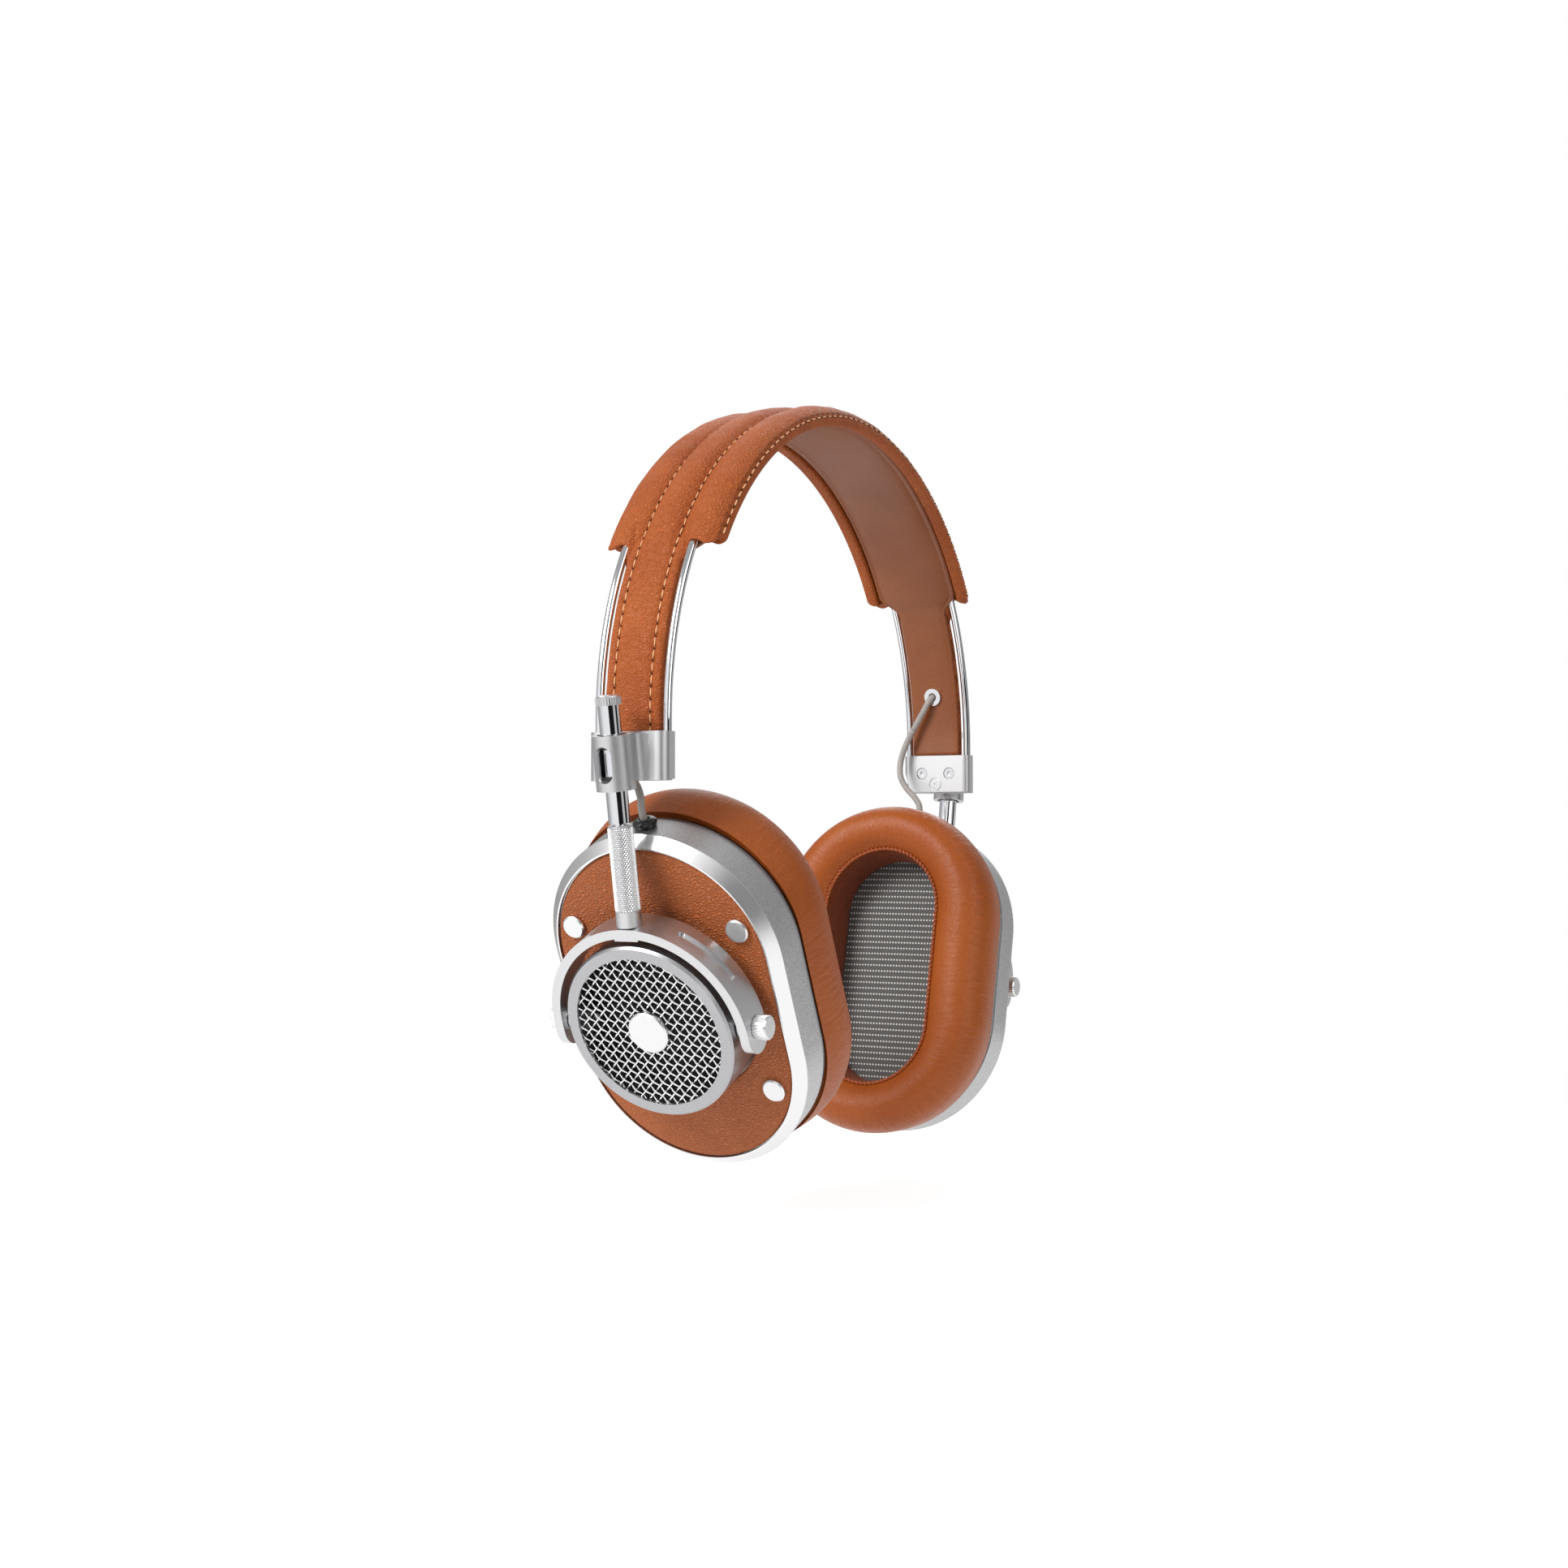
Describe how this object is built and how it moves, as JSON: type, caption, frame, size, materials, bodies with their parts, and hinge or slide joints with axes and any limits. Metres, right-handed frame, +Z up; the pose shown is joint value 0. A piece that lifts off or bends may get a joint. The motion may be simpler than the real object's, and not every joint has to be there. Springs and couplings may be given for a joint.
{
  "type": "over-ear headphones",
  "caption": "Over-ear headphones with a padded leather band on twin steel rods, sliding posts, round yokes, tilting metal cups with woven grilles and magnetic leather ear pads.",
  "frame": {"origin": "the middle of the headband's underside, where it rests on the head", "axes": "+X is the wearer's right, +Y the front and +Z up"},
  "size_m": [0.1972, 0.066, 0.1996],
  "materials": {
    "cognac_leather": "soft pebbled cowhide, satin",
    "lining_leather": "smooth lambskin, satin",
    "pad_leather": "smooth lambskin with fine creases, satin",
    "satin_aluminium": "bead-blasted and clear anodised",
    "polished_aluminium": "fine satin with polished edges",
    "bright_chrome": "mirror polished",
    "knurled_steel": "diamond knurled, satin",
    "woven_steel": "plain-woven stainless wire",
    "black_plastic": "moulded, fine texture",
    "black_felt": "thin black acoustic felt",
    "black_rubber": "moulded, matte",
    "grey_cable": "soft grey cable jacket",
    "magnet_steel": "plated pot and pressed frame",
    "driver_film": "thin coated film",
    "speaker_fabric": "dark grey mesh cloth with rows of pale dots"
  },
  "bodies": {
    "headband": {"band_rod_front": "bright_chrome", "band_rod_rear": "bright_chrome", "band_cover": "cognac_leather", "band_lining": "lining_leather", "band_cable": "grey_cable", "eyelets": "polished_aluminium", "bracket_screws": "polished_aluminium", "post_bushes": "black_plastic", "bracket_outer_right": "satin_aluminium", "bracket_inner_right": "satin_aluminium", "bracket_outer_left": "satin_aluminium", "bracket_inner_left": "satin_aluminium", "link_cable_right": "grey_cable", "link_cable_left": "grey_cable"},
    "post_right": {"post_right": "bright_chrome", "post_cap_right": "satin_aluminium"},
    "yoke_right": {"stem_right": "knurled_steel", "yoke_right": "satin_aluminium", "pivot_screws_right": "satin_aluminium", "pivot_washers_right": "satin_aluminium"},
    "cup_right": {"cup_housing_right": "satin_aluminium", "inlay_right": "cognac_leather", "rivets_right": "polished_aluminium", "ring_housing_right": "satin_aluminium", "grille_right": "woven_steel", "badge_right": "polished_aluminium", "damper_right": "black_felt", "baffle_right": "satin_aluminium", "driver_right": "magnet_steel", "diaphragm_right": "driver_film", "speaker_cloth_right": "speaker_fabric", "grommet_right": "black_rubber", "jack_socket_right": "black_plastic", "mute_switch": "black_plastic"},
    "pad_right": {"pad_plate_right": "black_plastic", "ear_pad_right": "pad_leather"},
    "post_left": {"post_left": "bright_chrome", "post_cap_left": "satin_aluminium"},
    "yoke_left": {"stem_left": "knurled_steel", "yoke_left": "satin_aluminium", "pivot_screws_left": "satin_aluminium", "pivot_washers_left": "satin_aluminium"},
    "cup_left": {"cup_housing_left": "satin_aluminium", "inlay_left": "cognac_leather", "rivets_left": "polished_aluminium", "ring_housing_left": "satin_aluminium", "grille_left": "woven_steel", "badge_left": "polished_aluminium", "damper_left": "black_felt", "baffle_left": "satin_aluminium", "driver_left": "magnet_steel", "diaphragm_left": "driver_film", "speaker_cloth_left": "speaker_fabric", "grommet_left": "black_rubber", "jack_socket_left": "black_plastic"},
    "pad_left": {"pad_plate_left": "black_plastic", "ear_pad_left": "pad_leather"},
    "mute_button": {"mute_button": "satin_aluminium"}
  },
  "joints": [
    {"name": "height_right", "type": "slide", "parent": "headband", "child": "post_right", "axis": [0.1736, 0, 0.9848], "range_m": [-0.0065, 0.007], "deforming": ["link_cable_right"]},
    {"name": "swivel_right", "type": "hinge", "parent": "post_right", "child": "yoke_right", "pos_m": [0.0942, 0, -0.0842], "axis": [0.1736, 0, 0.9848], "range_deg": [-5, 90]},
    {"name": "tilt_right", "type": "hinge", "parent": "yoke_right", "child": "cup_right", "pos_m": [0.07337, 0, -0.1526], "axis": [0, 1, 0], "range_deg": [-14, 2]},
    {"name": "pad_pull_right", "type": "slide", "parent": "cup_right", "child": "pad_right", "axis": [-0.91, 0, 0.4147], "range_m": [0, 0.01]},
    {"name": "height_left", "type": "slide", "parent": "headband", "child": "post_left", "axis": [-0.1736, 0, 0.9848], "range_m": [-0.0065, 0.007], "deforming": ["link_cable_left"]},
    {"name": "swivel_left", "type": "hinge", "parent": "post_left", "child": "yoke_left", "pos_m": [-0.0942, 0, -0.0842], "axis": [0.1736, 0, -0.9848], "range_deg": [-5, 90]},
    {"name": "tilt_left", "type": "hinge", "parent": "yoke_left", "child": "cup_left", "pos_m": [-0.07337, 0, -0.1526], "axis": [0, -1, 0], "range_deg": [-2.5, 13.5]},
    {"name": "pad_pull_left", "type": "slide", "parent": "cup_left", "child": "pad_left", "axis": [0.9744, 0, 0.225], "range_m": [0, 0.01]},
    {"name": "mute_press", "type": "slide", "parent": "cup_right", "child": "mute_button", "axis": [0, 1, 0], "range_m": [0, 0.0006], "stiffness_N_per_m": 400, "springref_m": -0.001}
  ]
}
